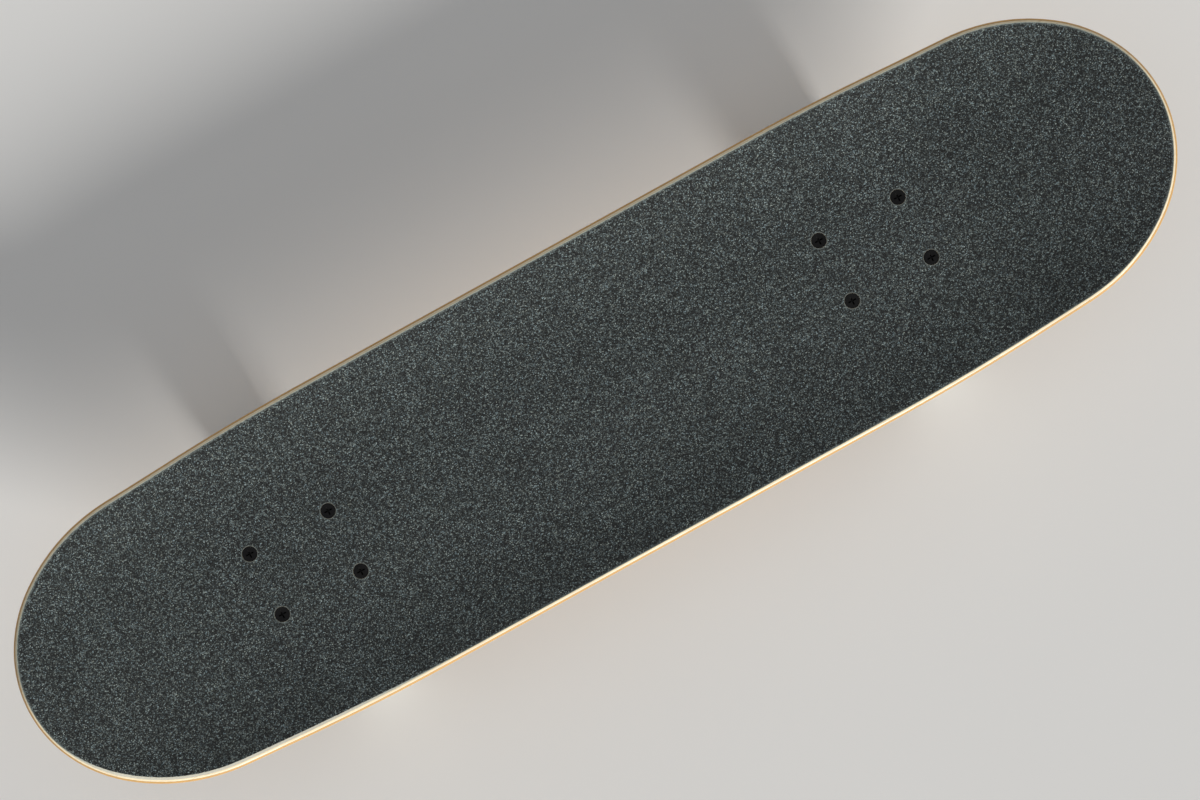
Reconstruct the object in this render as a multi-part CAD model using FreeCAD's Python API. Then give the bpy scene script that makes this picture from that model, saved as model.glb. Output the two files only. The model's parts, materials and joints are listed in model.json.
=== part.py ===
import FreeCAD, Part
import math
import os

# A complete skateboard, in millimetres, standing on its wheels.
# +X points to the nose, +Y to the left side, +Z up; the origin is on the ground under the middle.

# ---- deck -----------------------------------------------------------------------------------
deck_width = 190.5
deck_thickness = 10.5
wheelbase = 336.55             # between the inner deck bolts of the two trucks
bolt_pitch_long = 53.975       # standard truck bolt pattern, along the board
bolt_pitch_wide = 41.275       # and across it
nose_reach = 157.0             # from the outer bolts to the tip, seen from above
tail_reach = 151.0
nose_tip_radius = 84.1
tail_tip_radius = 82.3
tip_arc_angle = 48.7           # where the tip arc meets the shoulder arc, from the board's axis
shoulder_arc_angle = 84.7      # where the shoulder arc meets the long flank arc
flank_radius = 1400.0
kick_angle = 20.0
kick_flat = 15.0               # flat length kept past the outer bolts before a kick bends up
kick_bend_radius = 128.0
concave_radius = 235.0
concave_flat_margin = 1.5      # flat kept beside a baseplate before the concave begins
rim_radius_top = 3.0
rim_radius_bottom = 4.0
layer_margin = 12.0            # how far a layer is made past the outline that trims it
grip_thickness = 0.9
grip_inset = 2.8

# ---- deck bolts -----------------------------------------------------------------------------
bolt_radius = 2.4
bolt_length = 25.4
bolt_head_radius = 4.6
bolt_head_edge = 0.35
bolt_head_angle = 41.0         # half of the countersink's full angle
bolt_hole_clearance = 0.2
bolt_head_sink = 0.25          # head below the surface of the grip
grip_hole_clearance = 0.25
bolt_tip_share = 0.7           # of the bolt's radius, left at its rounded tip
cross_width = 0.95
cross_length = 5.4
cross_depth = 2.1
cross_floor_width = 0.7        # what each slot of the cross keeps of its width at its floor
cross_floor_length = 0.35      # and of its length
cross_start = 0.1              # the cutter begins this far above the head
lock_nut_flats = 9.53
lock_nut_height = 5.6
lock_nut_collar = 1.6          # round end that holds the nylon
lock_nut_room = 0.6            # spot face round a lock nut's corners
nut_chamfer_share = 0.9        # of the corner past the flats, taken off a nut's ends
nut_chamfer_slope = 0.6
nut_collar_share = 0.46        # radius of the round end, of the width over the flats
nut_collar_tip_share = 0.4
nut_collar_round = 0.3

# ---- trucks ---------------------------------------------------------------------------------
truck_height = 53.0            # deck to axle centre
axle_offset = 6.0              # axle outboard of the bolt pattern's middle
baseplate_length = 80.0
baseplate_width = 57.0
baseplate_thickness = 5.2
baseplate_corner = 7.0
baseplate_edge_round = 1.2
kingpin_lean = 15.0            # from upright, nut end towards the board's middle
seat_drop = 32.0               # deck to the middle of the bushing seat
seat_to_pivot = 28.5           # a bushing's side to the pivot's round tip, along the board
pivot_offset = 28.0            # centre of the tip, outboard of the pattern's middle
pivot_drop = 13.0
pivot_radius = 5.5
pivot_clearance = 0.08
pivot_cup_wall = 2.2
pivot_cup_skirt = 4.0          # length of the cup past the tip's centre
pivot_boss_wall = 3.4
pivot_mouth_inset = 0.5        # the boss stops this short of the cup's end
pivot_boss_back = 2.0          # boss past the cup's closed end
pivot_block_length = 16.0      # the block that joins the pivot boss to the plate
pivot_block_inset = 1.0
kingpin_radius = 4.76
kingpin_head_flats = 14.3
kingpin_head_height = 6.0
kingpin_head_top = 3.2         # below the deck, along the kingpin
kingpin_hole_clearance = 0.15
kingpin_tail = 1.0             # thread showing past the nut
kingpin_nut_height = 7.5
kingpin_nut_collar = 2.0
kingpin_tip_chamfer = 1.0
kingpin_pocket_room = 12.0     # how far the head's pocket is cut through the plate
kingpin_boss_margin = 0.1      # boss past the washer's rim
kingpin_boss_flare = 1.5       # wider at its foot
kingpin_boss_root = 8.0        # how far it starts above the deck's underside before trimming
kingpin_boss_slope = 1.5
kingpin_boss_chamfer = 1.0
rib_width = 8.0                # between the kingpin boss and the pivot boss
rib_depth = 7.2
bushing_radius = 13.5
boardside_bushing_height = 14.0
roadside_bushing_height = 10.0
roadside_bushing_end_radius = 10.2
roadside_bushing_inset = 0.3   # slimmer than the other bushing
bushing_seat_chamfer = 1.0     # at the boardside washer
bushing_ring_chamfer = 0.6     # at the seat ring
bushing_side_height = 2.4      # straight side of the roadside bushing before its cone
bushing_nib_gap = 0.2          # around the nib inside the seat ring
bushing_nib_height = 3.4
washer_thickness = 1.2
washer_rim = 1.1
washer_rim_height = 1.6
washer_rim_gap = 0.2
washer_edge = 0.5
seat_gap = 0.5                 # between a bushing and the ring's lip
seat_ring_wall = 2.8           # the lip round a bushing
seat_ring_half = 4.0           # half of the metal between the two bushings
seat_ring_lip = 1.0
seat_ring_room = 30.0          # how far the room for each bushing is cut past the ring
bushing_nib_wall = 2.29        # rubber between the kingpin and the seat ring
hanger_tube_radius = 9.5
hanger_end_radius = 7.4
hanger_end_chamfer = 0.7
hanger_shoulder_share = 0.55   # where the tube starts to taper, of its half length
hanger_wing_thickness = 12.0
hanger_wing_top = 15.0         # where the wing meets the pivot axis, from the tip's centre
stem_length = 16.0
stem_radius = 9.5
hanger_wing_round = 3.5
wing_foot_share = 0.8          # half width of the wing at the axle, of the hanger's half length
wing_step_share = 0.76         # and where it starts to narrow
wing_foot_drop = 2.0
wing_step_rise = 5.0
wing_hub_half = 11.5
bridge_half = 13.0             # the block between the seat ring and the wing
bridge_length = 24.0
bridge_inset = 0.5
edge_chamfer = 0.8             # small chamfers on cast edges
stem_neck_length = 6.0         # from the pivot's tip to the full stem
stem_neck_inset = 1.4

# ---- axles, wheels and bearings -------------------------------------------------------------
axle_radius = 3.97
axle_end_inset = 0.25          # axle end inside the deck's edge
axle_end_showing = 0.5         # axle past the nut
axle_chamfer = 0.6
axle_nut_flats = 12.7
axle_nut_height = 6.0
axle_nut_collar = 1.6
speed_washer_thickness = 1.0
speed_washer_radius = 5.9
wheel_radius = 26.0
wheel_width = 31.0
wheel_tread = 19.0
wheel_edge_radius = 5.0
wheel_face_radius = 17.0       # where the side face turns in to the core
wheel_mouth_flare = 1.2
wheel_seat_lip = 0.6           # bearing seat past the bearing
wheel_mouth_depth = 0.8
wheel_mouth_round = 0.5
wheel_face_land = 1.5
wheel_edge_steps = 6
wheel_web_bore = 9.4
axle_fit = 0.03                # bearing bore over the axle
bearing_outer_radius = 11.0
bearing_width = 7.0
bearing_pitch_radius = 7.5
ball_radius = 1.984
ball_count = 7
race_clearance = 0.05
inner_ring_shoulder = 6.1
outer_ring_shoulder = 8.95
cage_half_width = 2.6
cage_inner_radius = 6.85
cage_outer_radius = 8.15
cage_pocket_clearance = 0.06
shield_thickness = 0.35
shield_recess = 0.3
shield_gap = 0.25
shield_land = 0.45             # how far the shield reaches under the outer ring's lip
ball_offset_share = 0.3        # of the step between balls, so that none stands straight up
spacer_length = 10.0
spacer_radius = 5.2

# ---- places worked out from the sizes -------------------------------------------------------
deck_length = wheelbase + 2 * bolt_pitch_long + nose_reach + tail_reach
nose_tip = deck_length / 2
tail_tip = -deck_length / 2
front_bolts = nose_tip - nose_reach
rear_bolts = tail_tip + tail_reach
truck_centres = {"front": front_bolts - bolt_pitch_long / 2, "rear": rear_bolts + bolt_pitch_long / 2}
outboard = {"front": 1, "rear": -1}
deck_bottom = wheel_radius + truck_height
deck_top = deck_bottom + deck_thickness
grip_top = deck_top + grip_thickness
concave_flat_half = baseplate_width / 2 + concave_flat_margin
lean_angle = math.radians(kingpin_lean)
kingpin_down = FreeCAD.Vector(-math.sin(lean_angle), 0, -math.cos(lean_angle))
kingpin_room = kingpin_radius + kingpin_hole_clearance
bushing_nib_radius = kingpin_room + bushing_nib_wall
seat_bore_radius = bushing_nib_radius + bushing_nib_gap
seat_offset = pivot_offset - seat_to_pivot - bushing_radius
seat_centre = FreeCAD.Vector(seat_offset, 0, -seat_drop)
pivot_centre = FreeCAD.Vector(pivot_offset, 0, -pivot_drop)
pivot_axis = (pivot_centre - seat_centre).normalize()
pivot_cup_radius = pivot_radius + pivot_clearance + pivot_cup_wall
pivot_mouth = pivot_cup_skirt - pivot_mouth_inset
kingpin_start = seat_centre - kingpin_down * (seat_drop / math.cos(lean_angle))
seat_along = (seat_centre - kingpin_start).Length
boardside_bushing_at = seat_along - seat_ring_half - boardside_bushing_height
roadside_bushing_at = seat_along + seat_ring_half
roadside_washer_at = roadside_bushing_at + roadside_bushing_height
kingpin_nut_at = roadside_washer_at + washer_thickness
kingpin_end = kingpin_nut_at + kingpin_nut_height + kingpin_tail
bearing_bore_radius = axle_radius + axle_fit
axle_half = deck_width / 2 - axle_end_inset
axle_nut_at = axle_half - axle_end_showing - axle_nut_height
outer_bearing_at = axle_nut_at - speed_washer_thickness - bearing_width
inner_bearing_at = outer_bearing_at - spacer_length - bearing_width
hanger_half = inner_bearing_at - speed_washer_thickness
wheel_middle = outer_bearing_at - spacer_length / 2

UP = FreeCAD.Vector(0, 0, 1)
LEFT = FreeCAD.Vector(0, 1, 0)
FORWARD = FreeCAD.Vector(1, 0, 0)
far = 200.0                    # longer than any truck piece, for cutters


# ---- helpers --------------------------------------------------------------------------------
def save(name, shape):
    shape.exportStep(f"parts/{name}.step")


def group(solids):
    return Part.makeCompound(solids)


def line(a, b):
    return Part.LineSegment(a, b).toShape()


def arc(a, middle, b):
    return Part.Arc(a, middle, b).toShape()


def polygon_face(points):
    return Part.Face(Part.makePolygon(points + [points[0]]))


def prism(points, direction):
    return polygon_face(points).extrude(direction)


def turned(profile, start, axis):
    """A solid of revolution: profile is (along, radius) pairs, measured from start along axis."""
    shape = polygon_face([FreeCAD.Vector(radius, 0, along) for along, radius in profile])
    solid = shape.revolve(FreeCAD.Vector(0, 0, 0), UP, 360)
    return placed(solid, start, axis)


def placed(shape, start, axis):
    copy = shape.copy()
    copy.Placement = FreeCAD.Placement(start, FreeCAD.Rotation(UP, axis))
    return copy


def rod(radius, start, axis, length):
    return Part.makeCylinder(radius, length, start, axis)


def tube(inner, outer, start, axis, length):
    return rod(outer, start, axis, length).cut(rod(inner, start, axis, length))


def hexagon(flats, height):
    corner = flats / math.sqrt(3)
    points = []
    for step in range(6):
        turn = math.radians(60 * step)
        points.append(FreeCAD.Vector(corner * math.cos(turn), corner * math.sin(turn), 0))
    return prism(points, UP * height)


def nut(flats, height, bore, start, axis, collar=0.0):
    """A hexagon nut with chamfered corners and, with a collar, a round nylon-insert end."""
    corner = flats / math.sqrt(3)
    chamfer = (corner - flats / 2) * nut_chamfer_share
    slope = chamfer * nut_chamfer_slope
    hex_height = height - collar
    rounded = [(0, 0), (0, corner - chamfer), (slope, corner), (hex_height - slope, corner),
               (hex_height, corner - chamfer), (hex_height, 0)]
    body = hexagon(flats, hex_height).common(turned(rounded, FreeCAD.Vector(), UP))
    if collar > 0:
        side = flats * nut_collar_share
        ring = [(hex_height, 0), (hex_height, side), (height - collar * nut_collar_round, side),
                (height, flats * nut_collar_tip_share), (height, 0)]
        body = body.fuse(turned(ring, FreeCAD.Vector(), UP))
    body = body.cut(rod(bore, FreeCAD.Vector(0, 0, -1), UP, height + 2))
    return placed(body, start, axis)


def truck_placed(shape, end):
    """Moves a shape from the truck's frame (X outboard, Z up from the deck) to its end of the board."""
    copy = shape.copy()
    turn = FreeCAD.Rotation(UP, 0 if outboard[end] > 0 else 180)
    truck = FreeCAD.Placement(FreeCAD.Vector(truck_centres[end], 0, deck_bottom), turn)
    copy.Placement = truck.multiply(copy.Placement)
    return copy


def along_kingpin(distance):
    return kingpin_start + kingpin_down * distance


# ---- deck and grip --------------------------------------------------------------------------
def end_arcs(tip, sign, tip_radius, inset):
    """Points of one end's outline on the +Y side, from the tip to the straight flank."""
    first = math.radians(tip_arc_angle)
    second = math.radians(shoulder_arc_angle)
    half = deck_width / 2
    rest = half - tip_radius * math.sin(first) - flank_radius * (1 - math.sin(second))
    shoulder_radius = rest / (math.sin(second) - math.sin(first))
    centre = FreeCAD.Vector(tip - sign * tip_radius, 0, 0)
    spans = [(tip_radius, 0.0, first), (shoulder_radius, first, second), (flank_radius, second, math.pi / 2)]
    arcs = []
    for radius, start, end in spans:
        points = []
        for turn in (start, (start + end) / 2, end):
            reach = radius - inset
            points.append(centre + FreeCAD.Vector(sign * reach * math.cos(turn), reach * math.sin(turn), 0))
        arcs.append(points)
        corner = centre + FreeCAD.Vector(sign * radius * math.cos(end), radius * math.sin(end), 0)
        following = shoulder_radius if radius == tip_radius else flank_radius
        centre = corner - FreeCAD.Vector(sign * following * math.cos(end), following * math.sin(end), 0)
    return arcs


def mirrored(point):
    return FreeCAD.Vector(point.x, -point.y, point.z)


def outline_prism(inset):
    """The deck's plan outline, taken in by an inset, as an upright prism."""
    nose = end_arcs(nose_tip, 1, nose_tip_radius, inset)
    tail = end_arcs(tail_tip, -1, tail_tip_radius, inset)
    edges = []
    for chain in (nose, tail):
        for a, middle, b in chain:
            edges.append(arc(a, middle, b))
            edges.append(arc(mirrored(a), mirrored(middle), mirrored(b)))
    for flip in (lambda point: point, mirrored):
        edges.append(line(flip(nose[-1][2]), flip(tail[-1][2])))
    wire = Part.Wire(Part.__sortEdges__(edges))
    height = deck_top + deck_length
    return Part.Face(wire).extrude(UP * height)


def layer_section(x, low, high):
    """The deck's cross-section between two heights above its underside, in the plane X = x."""
    bottom_radius = concave_radius + deck_thickness
    reach = deck_width / 2 + layer_margin - concave_flat_half
    sweep = math.asin(reach / (bottom_radius - high))
    centre_z = deck_bottom + bottom_radius

    def point(side, height, turn):
        radius = bottom_radius - height
        y = side * (concave_flat_half + radius * math.sin(turn))
        return FreeCAD.Vector(x, y, centre_z - radius * math.cos(turn))

    edges = []
    for height in (low, high):
        edges.append(line(point(-1, height, 0), point(1, height, 0)))
        for side in (-1, 1):
            ends = [point(side, height, turn) for turn in (0, sweep / 2, sweep)]
            edges.append(arc(*ends))
    for side in (-1, 1):
        edges.append(line(point(side, low, sweep), point(side, high, sweep)))
    return Part.Face(Part.Wire(Part.__sortEdges__(edges)))


def kick_layer(bend_x, sign, length, low, high):
    """The bend and the straight kick of one end."""
    section = layer_section(bend_x, low, high)
    axis_point = FreeCAD.Vector(bend_x, 0, deck_bottom + kick_bend_radius)
    bend = section.revolve(axis_point, LEFT, -sign * kick_angle)
    end = section.copy()
    end.rotate(axis_point, LEFT, -sign * kick_angle)
    turn = math.radians(kick_angle)
    kick = end.extrude(FreeCAD.Vector(sign * math.cos(turn), 0, math.sin(turn)) * length)
    return [bend, kick]


def deck_layer(low, high):
    """An endless-edged layer of the pressed deck: flat middle, two bends and two straight kicks."""
    nose_bend = front_bolts + kick_flat
    tail_bend = rear_bolts - kick_flat
    middle = layer_section(tail_bend, low, high).extrude(FORWARD * (nose_bend - tail_bend))
    nose = kick_layer(nose_bend, 1, nose_reach, low, high)
    tail = kick_layer(tail_bend, -1, tail_reach, low, high)
    return middle.multiFuse(nose + tail).removeSplitter()


def is_upright(face):
    u0, u1, v0, v1 = face.ParameterRange
    return abs(face.normalAt((u0 + u1) / 2, (v0 + v1) / 2).z) < 1e-6


def rim_edges(solid, upper):
    """The edges where the upright side meets the top (or the underside)."""
    found = []
    for face in solid.Faces:
        if is_upright(face):
            continue
        u0, u1, v0, v1 = face.ParameterRange
        faces_up = face.normalAt((u0 + u1) / 2, (v0 + v1) / 2).z > 0
        if faces_up != upper:
            continue
        for edge in face.Edges:
            if any(is_upright(other) for other in solid.ancestorsOfType(edge, Part.Face)):
                found.append(edge)
    return found


def bolt_places():
    """Which truck each deck bolt holds, and the middle of its head's top."""
    places = []
    for end in ("front", "rear"):
        for along in (-1, 1):
            for across in (-1, 1):
                x = truck_centres[end] + along * bolt_pitch_long / 2
                y = across * bolt_pitch_wide / 2
                places.append((end, FreeCAD.Vector(x, y, grip_top - bolt_head_sink)))
    return places


def head_profile(grow):
    """The flat head and its cone, as (depth, radius) pairs; grow widens it for a seat."""
    cone = (bolt_head_radius - bolt_radius) / math.tan(math.radians(bolt_head_angle))
    return [(0, 0), (0, bolt_head_radius + grow), (bolt_head_edge, bolt_head_radius + grow),
            (bolt_head_edge + cone, bolt_radius + grow)]


def make_bolt(top):
    down = FreeCAD.Vector(0, 0, -1)
    tip_radius = bolt_radius * bolt_tip_share
    tip_start = bolt_length - (bolt_radius - tip_radius)
    tip = [(tip_start, bolt_radius), (bolt_length, tip_radius), (bolt_length, 0)]
    body = turned(head_profile(0) + tip, top, down)
    floor_length = cross_length * cross_floor_length
    floor_width = cross_width * cross_floor_width
    for turned_round in (False, True):
        mouth = rectangle(cross_length, cross_width, top + UP * cross_start, turned_round)
        floor = rectangle(floor_length, floor_width, top - UP * cross_depth, turned_round)
        body = body.cut(Part.makeLoft([mouth, floor], True, True))
    return body


def rectangle(length, width, centre, turned_round):
    """A level rectangle, lengthwise along the board or, turned round, across it."""
    along, across = (LEFT, FORWARD) if turned_round else (FORWARD, LEFT)
    points = []
    for x, y in ((-1, -1), (1, -1), (1, 1), (-1, 1), (-1, -1)):
        points.append(centre + along * (x * length / 2) + across * (y * width / 2))
    return Part.makePolygon(points)


def bolt_seat(top, grow):
    """What a bolt takes out of the deck: its hole and its countersink."""
    profile = head_profile(grow)
    reach = [(bolt_length + 1, bolt_radius + grow), (bolt_length + 1, 0)]
    above = [(-1, 0), (-1, bolt_head_radius + grow)]
    return turned(above + profile[2:] + reach, top, FreeCAD.Vector(0, 0, -1))


def make_deck():
    blank = deck_layer(0, deck_thickness).common(outline_prism(0))
    blank = blank.makeFillet(rim_radius_top, rim_edges(blank, True))
    blank = blank.makeFillet(rim_radius_bottom, rim_edges(blank, False))
    for end, top in bolt_places():
        blank = blank.cut(bolt_seat(top, bolt_hole_clearance))
    return blank


def make_grip():
    layer = deck_layer(deck_thickness, deck_thickness + grip_thickness)
    sheet = layer.common(outline_prism(grip_inset))
    for end, top in bolt_places():
        start = FreeCAD.Vector(top.x, top.y, deck_top - 1)
        sheet = sheet.cut(rod(bolt_head_radius + grip_hole_clearance, start, UP, grip_thickness + 2))
    return sheet


def make_deck_hardware():
    for end in ("front", "rear"):
        tops = [top for place, top in bolt_places() if place == end]
        save(f"{end}_deck_bolts", group([make_bolt(top) for top in tops]))
        nuts = []
        for top in tops:
            start = FreeCAD.Vector(top.x, top.y, deck_bottom - baseplate_thickness)
            down = FreeCAD.Vector(0, 0, -1)
            nuts.append(nut(lock_nut_flats, lock_nut_height, bolt_radius, start, down, lock_nut_collar))
        save(f"{end}_lock_nuts", group(nuts))


# ---- truck pieces, in the truck's frame -----------------------------------------------------
def make_plate():
    corner = FreeCAD.Vector(-baseplate_length / 2, -baseplate_width / 2, -baseplate_thickness)
    plate = Part.makeBox(baseplate_length, baseplate_width, baseplate_thickness, corner)
    upright = [edge for edge in plate.Edges if abs(edge.tangentAt(edge.FirstParameter).z) > 0.9]
    plate = plate.makeFillet(baseplate_corner, upright)
    lower = [edge for edge in plate.Edges if edge.BoundBox.ZMax < -baseplate_thickness + 1e-3]
    return plate.makeFillet(baseplate_edge_round, lower)


def make_kingpin_boss():
    end = boardside_bushing_at - washer_thickness
    radius = bushing_radius + washer_rim_gap + washer_rim + kingpin_boss_margin
    foot = radius + kingpin_boss_flare
    root = -kingpin_boss_root
    profile = [(root, 0), (root, foot), (0, foot), (end - kingpin_boss_slope, radius),
               (end, radius - kingpin_boss_chamfer), (end, 0)]
    return turned(profile, kingpin_start, kingpin_down)


def make_pivot_boss():
    """The round boss over the pivot cup and the block that joins it to the plate."""
    radius = pivot_cup_radius + pivot_boss_wall
    length = pivot_cup_radius + pivot_mouth + pivot_boss_back
    profile = [(0, 0), (0, radius - edge_chamfer), (edge_chamfer, radius), (length, radius), (length, 0)]
    boss = turned(profile, pivot_centre - pivot_axis * pivot_mouth, pivot_axis)
    start = baseplate_length / 2 - pivot_block_length - pivot_block_inset
    corner = FreeCAD.Vector(start, -radius, -pivot_drop)
    block = Part.makeBox(pivot_block_length, 2 * radius, pivot_drop, corner)
    return [boss, block]


def make_baseplate():
    rib_corner = FreeCAD.Vector(seat_offset, -rib_width / 2, -rib_depth)
    rib = Part.makeBox(pivot_offset - seat_offset, rib_width, rib_depth, rib_corner)
    body = make_plate().multiFuse([make_kingpin_boss(), rib] + make_pivot_boss())
    above = Part.makeBox(2 * far, 2 * far, far, FreeCAD.Vector(-far, -far, 0))
    outside = Part.makeBox(far, 2 * far, 2 * far, FreeCAD.Vector(baseplate_length / 2, -far, -far))
    body = body.cut(above).cut(outside)
    pocket_top = along_kingpin(-kingpin_pocket_room)
    pocket_depth = kingpin_pocket_room + kingpin_head_top + kingpin_head_height
    pocket = hexagon(kingpin_head_flats + 2 * kingpin_hole_clearance, pocket_depth)
    body = body.cut(placed(pocket, pocket_top, kingpin_down))
    body = body.cut(rod(kingpin_room, pocket_top, kingpin_down, far))
    cup_room = pivot_mouth + pivot_cup_radius
    cup_start = pivot_centre - pivot_axis * (pivot_mouth + pivot_drop)
    body = body.cut(rod(pivot_cup_radius, cup_start, pivot_axis, pivot_drop + cup_room))
    spot_radius = lock_nut_flats / math.sqrt(3) + lock_nut_room
    for along in (-1, 1):
        for across in (-1, 1):
            low = FreeCAD.Vector(along * bolt_pitch_long / 2, across * bolt_pitch_wide / 2, -far)
            body = body.cut(rod(bolt_radius + bolt_hole_clearance, low, UP, 2 * far))
            body = body.cut(rod(spot_radius, low, UP, far - baseplate_thickness))
    return body.removeSplitter()


def make_pivot_cup():
    room = pivot_radius + pivot_clearance
    start = pivot_centre - pivot_axis * pivot_cup_skirt
    body = rod(pivot_cup_radius, start, pivot_axis, pivot_cup_skirt + pivot_cup_radius)
    body = body.cut(Part.makeSphere(room, pivot_centre))
    return body.cut(rod(room, start - pivot_axis, pivot_axis, pivot_cup_skirt + 1))


def make_kingpin():
    start = along_kingpin(kingpin_head_top)
    head = placed(hexagon(kingpin_head_flats, kingpin_head_height), start, kingpin_down)
    length = kingpin_end - kingpin_head_top
    tip = kingpin_tip_chamfer
    profile = [(0, 0), (0, kingpin_radius), (length - tip, kingpin_radius),
               (length, kingpin_radius - tip), (length, 0)]
    return head.fuse(turned(profile, start, kingpin_down)).removeSplitter()


def make_boardside_bushing():
    """A barrel, with a nib that centres it in the seat ring."""
    tall = boardside_bushing_height
    nib_end = tall + bushing_nib_height
    side = bushing_radius
    profile = [(0, kingpin_room), (0, side - bushing_seat_chamfer), (bushing_seat_chamfer, side),
               (tall - bushing_ring_chamfer, side), (tall, side - bushing_ring_chamfer),
               (tall, bushing_nib_radius), (nib_end, bushing_nib_radius), (nib_end, kingpin_room)]
    return turned(profile, along_kingpin(boardside_bushing_at), kingpin_down)


def make_roadside_bushing():
    """A cone whose narrow end stands in the small washer, with a nib into the seat ring."""
    short = roadside_bushing_height
    nib_start = -bushing_nib_height
    seated = short - washer_rim_height - 2 * washer_rim_gap
    side = bushing_radius - roadside_bushing_inset
    end = roadside_bushing_end_radius
    profile = [(nib_start, kingpin_room), (nib_start, bushing_nib_radius), (0, bushing_nib_radius),
               (0, side - bushing_ring_chamfer), (edge_chamfer, side), (bushing_side_height, side),
               (seated, end), (short, end), (short, kingpin_room)]
    return turned(profile, along_kingpin(roadside_bushing_at), kingpin_down)


def cup_washer(inside, start, axis):
    rim = inside + washer_rim_gap
    outer = rim + washer_rim
    top = washer_thickness + washer_rim_height
    profile = [(0, kingpin_room), (0, outer - washer_edge), (washer_edge, outer), (top, outer), (top, rim),
               (washer_thickness, rim), (washer_thickness, kingpin_room)]
    return turned(profile, start, axis)


def make_hanger_beam(axle):
    shoulder = hanger_half * hanger_shoulder_share
    chamfer = hanger_end_chamfer
    right = [(hanger_half, 0), (hanger_half, hanger_end_radius - chamfer),
             (hanger_half - chamfer, hanger_end_radius), (shoulder, hanger_tube_radius)]
    left = [(-along, radius) for along, radius in reversed(right)]
    return turned(right + left, axle, LEFT)


def make_hanger_wing(axle):
    """The tapering plate that rises from the axle to the pivot stem."""
    rise = pivot_centre - pivot_axis * hanger_wing_top - axle
    height = rise.Length
    climb = rise.normalize()
    normal = FreeCAD.Vector(-climb.z, 0, climb.x)
    foot = hanger_half * wing_foot_share
    step = hanger_half * wing_step_share
    right = [(foot, -wing_foot_drop), (step, wing_step_rise), (wing_hub_half, height)]
    left = [(-across, up) for across, up in reversed(right)]
    base = axle - normal * (hanger_wing_thickness / 2)
    corners = [base + LEFT * across + climb * up for across, up in right + left]
    wing = prism(corners, normal * hanger_wing_thickness)
    return wing.makeFillet(hanger_wing_round, wing.Edges)


def make_seat_ring():
    """The ring that the two bushings pinch, and the block that joins it to the wing."""
    half = seat_ring_half + seat_ring_lip
    radius = bushing_radius + seat_gap + seat_ring_wall
    top = radius - edge_chamfer
    profile = [(-half, 0), (-half, top), (-half + edge_chamfer, radius), (half - edge_chamfer, radius),
               (half, top), (half, 0)]
    ring = turned(profile, seat_centre, kingpin_down)
    outward = FreeCAD.Vector(math.cos(lean_angle), 0, -math.sin(lean_angle)) * bridge_length
    side = LEFT * (2 * bridge_half)
    corner = seat_centre - kingpin_down * (half - bridge_inset) - LEFT * bridge_half
    face = [corner, corner + outward, corner + outward + side, corner + side]
    return [ring, prism(face, kingpin_down * (2 * (half - bridge_inset)))]


def make_pivot_stem():
    tip = pivot_cup_skirt
    profile = [(0, 0), (0, pivot_radius), (tip + edge_chamfer, pivot_radius),
               (tip + stem_neck_length, stem_radius - stem_neck_inset), (stem_length, stem_radius),
               (stem_length, 0)]
    return [turned(profile, pivot_centre, pivot_axis * -1), Part.makeSphere(pivot_radius, pivot_centre)]


def make_hanger():
    axle = FreeCAD.Vector(axle_offset, 0, -truck_height)
    body = make_hanger_beam(axle).multiFuse([make_hanger_wing(axle)] + make_seat_ring() + make_pivot_stem())
    for side in (-1, 1):
        start = seat_centre + kingpin_down * (side * seat_ring_half)
        body = body.cut(rod(bushing_radius + seat_gap, start, kingpin_down * side, seat_ring_room))
    above = seat_centre - kingpin_down * seat_drop
    body = body.cut(rod(seat_bore_radius, above, kingpin_down, 2 * seat_drop))
    return body.cut(rod(axle_radius, axle - LEFT * far, LEFT, 2 * far)).removeSplitter()


def make_axle_set():
    axle = FreeCAD.Vector(axle_offset, 0, -truck_height)
    right = [(axle_half, 0), (axle_half, axle_radius - axle_chamfer),
             (axle_half - axle_chamfer, axle_radius)]
    left = [(-along, radius) for along, radius in reversed(right)]
    shaft = turned(right + left, axle, LEFT)
    nuts = []
    washers = []
    for side in (-1, 1):
        way = LEFT * side
        start = axle + way * axle_nut_at
        nuts.append(nut(axle_nut_flats, axle_nut_height, axle_radius, start, way, axle_nut_collar))
        for place in (hanger_half, axle_nut_at - speed_washer_thickness):
            washers.append(tube(bearing_bore_radius, speed_washer_radius, axle + way * place, way,
                                speed_washer_thickness))
    return shaft, group(nuts), group(washers)


def make_truck(end):
    shaft, nuts, washers = make_axle_set()
    nut_start = along_kingpin(kingpin_nut_at)
    washer_start = along_kingpin(boardside_bushing_at - washer_thickness)
    pieces = {
        "baseplate": make_baseplate(),
        "pivot_cup": make_pivot_cup(),
        "kingpin": make_kingpin(),
        "kingpin_nut": nut(kingpin_head_flats, kingpin_nut_height, kingpin_radius, nut_start, kingpin_down,
                           kingpin_nut_collar),
        "boardside_bushing": make_boardside_bushing(),
        "roadside_bushing": make_roadside_bushing(),
        "boardside_washer": cup_washer(bushing_radius, washer_start, kingpin_down),
        "roadside_washer": cup_washer(roadside_bushing_end_radius, nut_start, kingpin_down * -1),
        "hanger": make_hanger(),
        "axle": shaft,
        "axle_nuts": nuts,
        "speed_washers": washers,
    }
    for name, shape in pieces.items():
        save(f"{end}_{name}", truck_placed(shape, end))


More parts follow.
